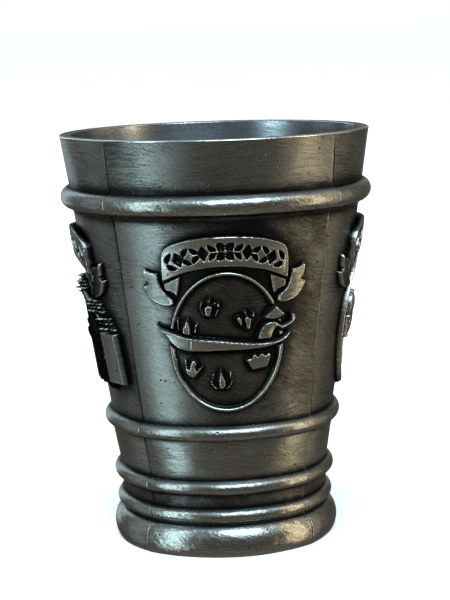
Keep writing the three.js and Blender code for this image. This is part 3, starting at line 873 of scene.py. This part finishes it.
def badge_shade_and_oxide(side):
    """The side's painted shade or light. The left badge is nearly black with oxide and painted shade, twice
    as strong under the eaves, apart from its blocks and the tips of its tiles above the eaves.
    """
    if side != "left":
        return SIDE_SHADE_AND_LIGHT[side]
    beyond_blocks = smooth_step(np.minimum(distance_to(BLOCK), distance_to(BLOCK * (-1, 1))), 0, 0.1)
    return beyond_blocks * (1 + (GRID_UP < deck_top(np.minimum(np.abs(GRID_ACROSS), 9)) + EAVES))


# Painted shade or light for the side, and painted shade that tones down the banners' tails.
def banner_shade_and_light(side, banner):
    tails = smooth_step(banner, 0.62, 0.75) * (1 - smooth_step(banner, 0.92, 1.08))
    return SIDE_SHADE_AND_LIGHT[side] + TAIL_SHADE * tails


def shading(field, above, shade_and_oxide):
    """How much oxide and painted shade lie at each grid point, and how far the point is worn. Oxide lies on
    what is lower than its surroundings and on the foot of each flank, the given painted shade and oxide are
    added (painted light where they are negative), and what stands out is rubbed bright."""
    level = np.maximum(above, 0)
    nearby, around = blurred(level, NEARBY / STEP), blurred(level, AROUND / STEP)
    out = field - nearby
    steep = smooth_step(np.hypot(*np.gradient(field, STEP)), 0.9, 2.2)
    hollow = np.clip(-2.2 * out, 0, 1) + np.clip((around - field) * 1.5, 0, 0.9)
    hollow *= 1 - 0.8 * smooth_step(field, 0.62, 0.9)
    hollow += 0.6 * (1 - smooth_step(field, 0.35, 1.05))
    patina = np.maximum(hollow, steep * (1 - smooth_step(field, 0.1, 0.4)))
    # Standing tips lose up to 1 of their painted shade and oxide.
    shade_and_oxide = np.maximum(shade_and_oxide * (1 - smooth_step(out, 0.12, 0.26)), shade_and_oxide - 1)
    wear = np.clip(out * 4.0, 0, 1) * (1 - 0.75 * steep) * (1 - np.clip(shade_and_oxide, 0, 1))
    return np.clip(patina + shade_and_oxide, 0, 1.6), wear


def relief_piece(kind, side, field, above, material, shade_and_oxide):
    """The raised part of a field as a closed shell whose back lies just inside the wall."""
    kept, inner = field > -0.12, field > SUNK + 1e-6
    cell = np.ones((field.shape[0] - 1, field.shape[1] - 1), bool)
    for mask in (kept, inner):
        cell &= mask[:-1, :-1] | mask[1:, :-1] | mask[:-1, 1:] | mask[1:, 1:]
    # Where two cells touch at one corner only, the cell between them is kept too.
    first, second, third, fourth = cell[:-1, :-1], cell[1:, 1:], cell[1:, :-1], cell[:-1, 1:]
    third |= first & second & ~third & ~fourth
    first |= third & fourth & ~first & ~second
    quads = grid_faces(*field.shape)[cell.ravel()]
    used, quads = np.unique(quads, return_inverse=True)
    quads = quads.reshape(-1, 4)
    across, up = GRID_ACROSS.ravel()[used], GRID_UP.ravel()[used]
    height = blurred(field, SMOOTHING).ravel()[used]
    wall = wall_radius(up)
    angle = across / (wall + RELIEF_ARC) + SIDES[side] * QUARTER
    face = turned(wall + height, up, angle)
    back = turned(wall + SUNK - BACK_DEPTH, up, angle)
    count = len(used)
    edges = np.vstack([quads[:, [i, (i + 1) % 4]] for i in range(4)]).tolist()
    keys = {tuple(edge) for edge in edges}
    border = np.array([edge for edge in edges if (edge[1], edge[0]) not in keys])
    skirt = np.stack([border[:, 1], border[:, 0], border[:, 0] + count, border[:, 1] + count], axis=1)
    patina, wear = (values.ravel()[used] for values in shading(field, above, shade_and_oxide))
    faces = np.vstack([quads, quads[:, ::-1] + count, skirt]).tolist()
    make_piece(
        f"{kind}_{side}_cast", np.vstack([face, back]), faces, material, "relief_pewter", f"{kind}_{side}",
        grain=np.tile(grain_at(side, across, up), (2, 1)), patina=np.tile(patina, 2), wear=np.tile(wear, 2),
    )


# ---------------------------------------------------------------- wall quarters
FOOT = {"r": 14.6, "z": 1.9, "wide": 2.1, "high": 2.8}
HOOPS = [
    {"z": 5.85, "tube": 1.05, "proud": 1.5},
    {"z": 10.05, "tube": 1.05, "proud": 1.2},
    {"z": 18.25, "tube": 1.15, "proud": 1.15},
    {"z": 51.0, "tube": 1.55, "proud": 1.55},
]
FOOT_TOP = 4.4
# Where the arcs of the foot and of a hoop end, in radians above and below level.
FOOT_END, HOOP_END = 1.3, 1.5
ROW_STEP = 0.24
COLUMN_COUNT = 201
SEAM_GAP = 0.015
SHARP_DEGREES = 70
HALF = QUARTER / 2
# How dark each quarter's left edge is with oxide, and how far its right edge is rubbed bright.
SEAM_EDGES = {"front": (1.3, 1.0), "right": (0.3, 0.5), "back": (0.9, 0.8), "left": (0.6, 0.0)}
# The oxide and painted shade round the reliefs, as widths in mm and their strengths.
HALO = ((0.45, 1.4), (1.9, 1.25), (4.0, 0.65))
SIDE_PHASE = 1.7
# Heights on the wall where oxide and painted shade of their own start, are full, are still full, and end.
RELIEF_ZONE = (19.6, 21.2, 48.0, 49.4)
MEDALLION_ZONE = (19.5, 22.0, 47.5, 49.2)
# The plain zone's oxide and wear start at different heights, and the lip zone goes on to the top.
PLAIN_ZONE = (12.4, 17.0, 19.5)
LIP_ZONE = (52.0, 53.0)


def between(value, start, full, still_full, end):
    return smooth_step(value, start, full) * (1 - smooth_step(value, still_full, end))


def arc(r, z, wide, high, start, end, steps):
    angle = np.linspace(start, end, steps)
    return np.stack([r + wide * np.cos(angle), z + high * np.sin(angle)], axis=1)


def outer_profile():
    """The outside of a quarter from the foot's lower edge to the top, in even steps."""
    foot_start = -math.asin(FOOT["z"] / FOOT["high"])
    pieces = [arc(FOOT["r"], FOOT["z"], FOOT["wide"], FOOT["high"], foot_start, FOOT_END, 40)]
    for hoop in HOOPS:
        if hoop["z"] > UP[-1]:
            plain = np.arange(UP[0], hoop["z"] - hoop["tube"] - 0.2, 0.5)
            pieces.append(np.stack([wall_radius(plain), plain], axis=1))
        centre = wall_radius(hoop["z"]) + hoop["proud"] - hoop["tube"]
        pieces.append(arc(centre, hoop["z"], hoop["tube"], hoop["tube"], -HOOP_END, HOOP_END, 30))
    pieces.append([(wall_radius(WALL_TOP), WALL_TOP)])
    path = np.vstack(pieces)
    least = np.where(path[:, 1] > FOOT_TOP, wall_radius(path[:, 1]), 0)
    path[:, 0] = np.maximum(path[:, 0], least)
    length = np.concatenate([[0], np.cumsum(np.hypot(*np.diff(path, axis=0).T))])
    even = np.linspace(0, length[-1], int(length[-1] / ROW_STEP))
    return np.stack([np.interp(even, length, path[:, i]) for i in (0, 1)], axis=1)


def column_angles():
    """Where the columns of a quarter stand. They are closer together near its two seams."""
    even = np.linspace(-1, 1, COLUMN_COUNT)
    angle = 0.75 * even + 0.25 * np.sin(even * QUARTER)
    return angle * (HALF - SEAM_GAP / 20) / angle[-1]


def cap_triangles(rim):
    """Triangles that fill a flat outline, all turning the same way as the outline does."""
    made = []
    for a, b, c in tessellate_polygon([[Vector((x, y, 0)) for x, y in rim]]):
        (ax, ay), (bx, by), (cx, cy) = rim[a], rim[b], rim[c]
        turns_left = (bx - ax) * (cy - ay) > (cx - ax) * (by - ay)
        made.append((a, b, c) if turns_left else (a, c, b))
    return np.array(made)


def hand_work(side, angle, height, to_seam, standing):
    """How far the surface is off a true cone: slow waves, a fine groove at each seam that is deeper on the
    hoops, and a swelling towards the seams, which makes the glass a little square below its lip."""
    phase = SIDES[side] * SIDE_PHASE
    waves = 0.035 * np.sin(6.2 * angle + 0.21 * height + phase)
    waves = waves + 0.022 * np.sin(9.0 * angle - 0.6 * height + 2 * phase)
    groove = 0.03 * (np.exp(-(to_seam / 0.08) ** 2) + np.exp(-(to_seam / 0.1) ** 2) * standing)
    squared = 0.34 * np.abs(angle / HALF) ** 3 * (1 - 0.8 * smooth_step(height, 55, HEIGHT))
    return waves - groove + squared


def wall_shading(side, angle, across, height, proud, to_seam, standing, above):
    """Oxide lies in hoop roots, the wall is darker near the hoops and under the lip, oxide and painted shade
    lie round the relief, painted shade lies on parts of each quarter, and the crests of hoops are bright.
    """
    roots = np.clip(2.5 * (blurred(np.maximum(proud, 0), 4.5) - proud), 0, 1.2)
    near_hoops = blurred(np.maximum(proud, 0), 6) * (1 - standing)
    column = np.clip((across - ACROSS[0]) / STEP, 0, len(ACROSS) - 1).astype(int)
    row = np.clip((height - UP[0]) / STEP, 0, len(UP) - 1).astype(int)
    # Oxide and painted shade round the relief, fading out towards the seams.
    halo = sum(share * blurred(np.maximum(above, 0), width / STEP)[row, column] for width, share in HALO)
    halo = halo * (1 - smooth_step(np.abs(across), 12.2, 15.0)) * between(height, *RELIEF_ZONE)

    under_lip = smooth_step(height, *LIP_ZONE)
    dark_edge, bright_edge = SEAM_EDGES[side]
    seam = np.where(angle > 0, 0.2 * (1 - bright_edge), dark_edge) * np.exp(-(to_seam / 0.18) ** 2)
    seam = seam * (1 - 0.75 * standing) * (1 - 0.6 * under_lip)
    # Uneven oxide round the medallions, and painted shade over the right part of each quarter.
    lean = np.sin(2 * angle + SIDES[side] * SIDE_PHASE)
    uneven_and_shade = 0.34 * np.maximum(lean, 0) + 0.24 * np.minimum(lean, 0) + 0.12 * smooth_step(angle, 0.3, 0.6)
    uneven_and_shade = uneven_and_shade * between(height, *MEDALLION_ZONE)
    # Darker under the lip, with painted shade over the left part of each quarter there, and less oxide on the
    # plain zone.
    by_zone = under_lip * (0.12 + 0.22 * (1 - smooth_step(angle, -0.6, -0.2)))
    by_zone = by_zone - 0.3 * between(height, 11.4, *PLAIN_ZONE)
    patina = np.clip(roots + 0.42 * near_hoops + halo + seam + by_zone + uneven_and_shade, -0.3, 1.3)

    crests = np.clip(standing * 1.1 - 0.35, 0, 1) * (1 - 0.7 * np.clip(roots, 0, 1))
    rubbed = np.where(angle > 0, bright_edge, 0) * np.exp(-((to_seam - 0.16) / 0.1) ** 2)
    rubbed = rubbed * (1 - 0.6 * standing)
    plain = 0.4 * between(height, 11.6, *PLAIN_ZONE) * (1 - standing) * np.clip(1 - roots, 0, 1)
    return patina, highest(crests, rubbed, plain)


def wall_piece(side, above, material):
    profile = outer_profile()
    angle = column_angles()[None, :]
    bulk, height = (np.repeat(values[:, None], COLUMN_COUNT, axis=1) for values in profile.T)
    across = angle * (bulk + RELIEF_ARC)
    to_seam = (HALF - np.abs(angle)) * bulk
    standing = np.clip((bulk - wall_radius(height)) / 1.2, 0, 1)
    bulk = bulk + hand_work(side, angle, height, to_seam, standing)
    proud = bulk - wall_radius(height)
    patina, wear = wall_shading(side, angle, across, height, proud, to_seam, standing, above)

    shelf, bore = DISC_HIGH.z + JOINT_GAP, DISC_HIGH.x + JOINT_GAP
    inside = np.array([(wall_radius(WALL_TOP) - CAST_WALL, WALL_TOP), (wall_radius(shelf) - CAST_WALL, shelf),
                       (bore, shelf), (bore, 0)])
    turn = angle + SIDES[side] * QUARTER
    shell = turned(bulk, height, np.broadcast_to(turn, bulk.shape))
    lining = turned(inside[:, :1], np.broadcast_to(inside[:, 1:], (len(inside), COLUMN_COUNT)), turn)
    faces = grid_faces(len(profile) + len(inside), COLUMN_COUNT, closed_rows=True).tolist()
    for end, order in ((0, 1), (COLUMN_COUNT - 1, -1)):
        rim = np.vstack([np.stack([bulk[:, end], height[:, end]], axis=1), inside])
        faces += (cap_triangles(rim)[:, ::order] * COLUMN_COUNT + end).tolist()
    hidden = len(inside) * COLUMN_COUNT
    make_piece(
        f"wall_{side}_cast", np.concatenate([shell, lining]).reshape(-1, 3), faces, material, "wall_pewter",
        f"wall_{side}", SHARP_DEGREES,
        grain=np.vstack([grain_at(side, across, height).reshape(-1, 3), np.zeros((hidden, 3))]),
        patina=np.concatenate([patina.ravel(), np.ones(hidden)]),
        wear=np.concatenate([wear.ravel(), np.zeros(hidden)]),
    )


# ---------------------------------------------------------------- cup and base disc
CUP_CORNER = 2.5
LIP_ROLL = 0.26
CUP_RIPPLE = 0.006
DISC_DISH, DISC_BEVEL = 0.4, 0.15
DISH_REACH, STANDING_RING = 11.1, 11.5
CUP_COLUMNS, DISC_COLUMNS = 240, 180
CUP_STEP, DISC_STEP = 1.2, 0.8
# The metal's texture runs round the lathe pieces as if their radius were this, and is shifted sideways.
LATHE_ARC = 18.0
LATHE_SHIFT = 7.0


def lathe_piece(name, profile, columns, material, slot, patina, wear, ripple=0.0):
    """A closed shell of revolution whose profile starts and ends on the axis."""
    angle = np.arange(columns) * 2 * math.pi / columns
    ring = profile[1:-1]
    rows = len(ring)
    wave = ripple * (np.sin(3 * angle + 0.4) + 0.6 * np.sin(7 * angle + 2.0) + 0.5 * np.sin(17 * angle))
    points = turned(ring[:, :1] + wave, np.broadcast_to(ring[:, 1:], (rows, columns)), angle)
    points = np.vstack([points.reshape(-1, 3), [(0, 0, profile[0, 1]), (0, 0, profile[-1, 1])]])
    first, last, top = rows * columns, rows * columns + 1, (rows - 1) * columns
    pairs = [(here, (here + 1) % columns) for here in range(columns)]
    faces = grid_faces(rows, columns, closed_columns=True).tolist()
    faces += [(first, beside, here) for here, beside in pairs]
    faces += [(last, top + here, top + beside) for here, beside in pairs]
    along = np.cumsum(np.hypot(*np.diff(profile, axis=0).T))[:-1]
    grain = np.stack(np.broadcast_arrays(angle * LATHE_ARC, along[:, None], LATHE_SHIFT), axis=-1)
    grain = np.vstack([grain.reshape(-1, 3), [(0, 0, LATHE_SHIFT)] * 2])
    patina, wear = (np.append(np.repeat(values[1:-1], columns), values[[0, -1]]) for values in (patina, wear))
    make_piece(f"{name}_sheet", points, faces, material, slot, name, grain=grain, patina=patina, wear=wear)


def refined(corners, step):
    """A chain of points with extra points along its long stretches."""
    made = [np.array(corners[0], float)]
    for point in np.array(corners[1:], float):
        count = max(1, int(np.hypot(*(point - made[-1])) / step))
        start = made[-1]
        made += [start + (point - start) * (i + 1) / count for i in range(count)]
    return np.array(made)


def make_cup(material):
    """The liner, whose rolled lip reaches over the wall's top."""
    def outside(up):
        return wall_radius(up) - CAST_WALL - JOINT_GAP

    def inside(up):
        return outside(up) - CUP_SHEET

    corner_up = CUP_FLOOR + CUP_CORNER
    outer, inner = outside(corner_up) - CUP_CORNER, inside(corner_up) - CUP_CORNER
    under_lip = WALL_TOP + 0.02
    roll_up = HEIGHT - LIP_ROLL
    chain = [(0, CUP_FLOOR - CUP_SHEET)]
    chain += arc(outer, corner_up, CUP_CORNER, CUP_CORNER + CUP_SHEET, -QUARTER, 0, 8).tolist()
    chain += [(outside(under_lip), under_lip), (LIP_RADIUS - 0.1, under_lip)]
    chain += arc(LIP_RADIUS - LIP_ROLL, roll_up, LIP_ROLL, LIP_ROLL, 0, QUARTER, 9).tolist()
    chain += arc(inside(HEIGHT) + LIP_ROLL, roll_up, LIP_ROLL, LIP_ROLL, QUARTER, math.pi, 7).tolist()
    chain += arc(inner, corner_up, CUP_CORNER, CUP_CORNER, 0, -QUARTER, 12).tolist()
    chain += [(0, CUP_FLOOR)]
    profile = refined(chain, CUP_STEP)
    up = profile[:, 1]
    is_inside = np.arange(len(profile)) > np.argmax(up)
    # Bright steel deep inside, and duller towards the lip, whose crest is worn bright with a painted
    # highlight.
    patina = np.where(is_inside, 0.75 * smooth_step(up, 40.0, 52.0), 0.4)
    wear = np.clip((up - HEIGHT + 0.35) / 0.2, 0, 1)
    lathe_piece("inner_cup", profile, CUP_COLUMNS, material, "cup_steel", patina, wear, CUP_RIPPLE)


def make_base(material):
    """A disc that is dished underneath, so that only its outer ring stands on the table."""
    low, high, radius = DISC_LOW.z, DISC_HIGH.z, DISC_HIGH.x
    dish = low + DISC_DISH
    profile = refined([(0, dish), (DISH_REACH, dish), (STANDING_RING, low), (radius - DISC_BEVEL, low),
                       (radius, low + DISC_BEVEL), (radius, high), (0, high)], DISC_STEP)
    patina = 0.45 + 0.5 * np.exp(-((profile[:, 0] - DISH_REACH) / 0.5) ** 2)
    wear = 0.6 * np.exp(-((profile[:, 0] - 12.6) / 0.8) ** 2)
    lathe_piece("base_disc", profile, DISC_COLUMNS, material, "base_pewter", patina, wear)


# ---------------------------------------------------------------- the scene
make_camera()
make_studio()
make_floor()

WALL_PEWTER = pewter("wall_pewter", (0.3, 0.29, 0.265, 1), (0.018, 0.017, 0.016, 1), 0.36, blotches=0.65)
RELIEF_PEWTER = pewter("relief_pewter", (0.44, 0.425, 0.387, 1), (0.014, 0.013, 0.012, 1), 0.34, brushing=0.6,
                       pitting=0.6, blotches=0.6, oxide_roughness=-0.06, edge_shine=0.15)
# A darker copy of the relief pewter for the left badge: its oxide is darker, and the rest is painted shade.
OXIDE_AND_SHADE_PEWTER = pewter("oxide_and_shade_pewter", (0.4, 0.386, 0.352, 1), (0.009, 0.009, 0.009, 1), 0.4, brushing=0.6,
                      pitting=0.6, blotches=0.4, oxide_roughness=0.0, lacquer=0.0, edge_shine=0.05)
CUP_STEEL = pewter("cup_steel", (0.72, 0.75, 0.77, 1), (0.11, 0.118, 0.124, 1), 0.3, brushing=0.5,
                   pitting=0.0, blotches=0.2, oxide_roughness=0.0, polish=1.7)
BASE_PEWTER = pewter("base_pewter", (0.2, 0.19, 0.175, 1), (0.02, 0.019, 0.018, 1), 0.5, brushing=0.6,
                     pitting=1.0, blotches=1.2)

banner = banner_field()
for side, make_badge in BADGES.items():
    badge = make_badge()
    both = highest(banner, badge)
    relief_piece("banner", side, banner, both, RELIEF_PEWTER, banner_shade_and_light(side, banner))
    # The left badge takes the darker copy, which paints shade on it.
    badge_pewter = OXIDE_AND_SHADE_PEWTER if side == "left" else RELIEF_PEWTER
    relief_piece("badge", side, badge, both, badge_pewter, badge_shade_and_oxide(side))
    wall_piece(side, both, WALL_PEWTER)
make_cup(CUP_STEEL)
make_base(BASE_PEWTER)
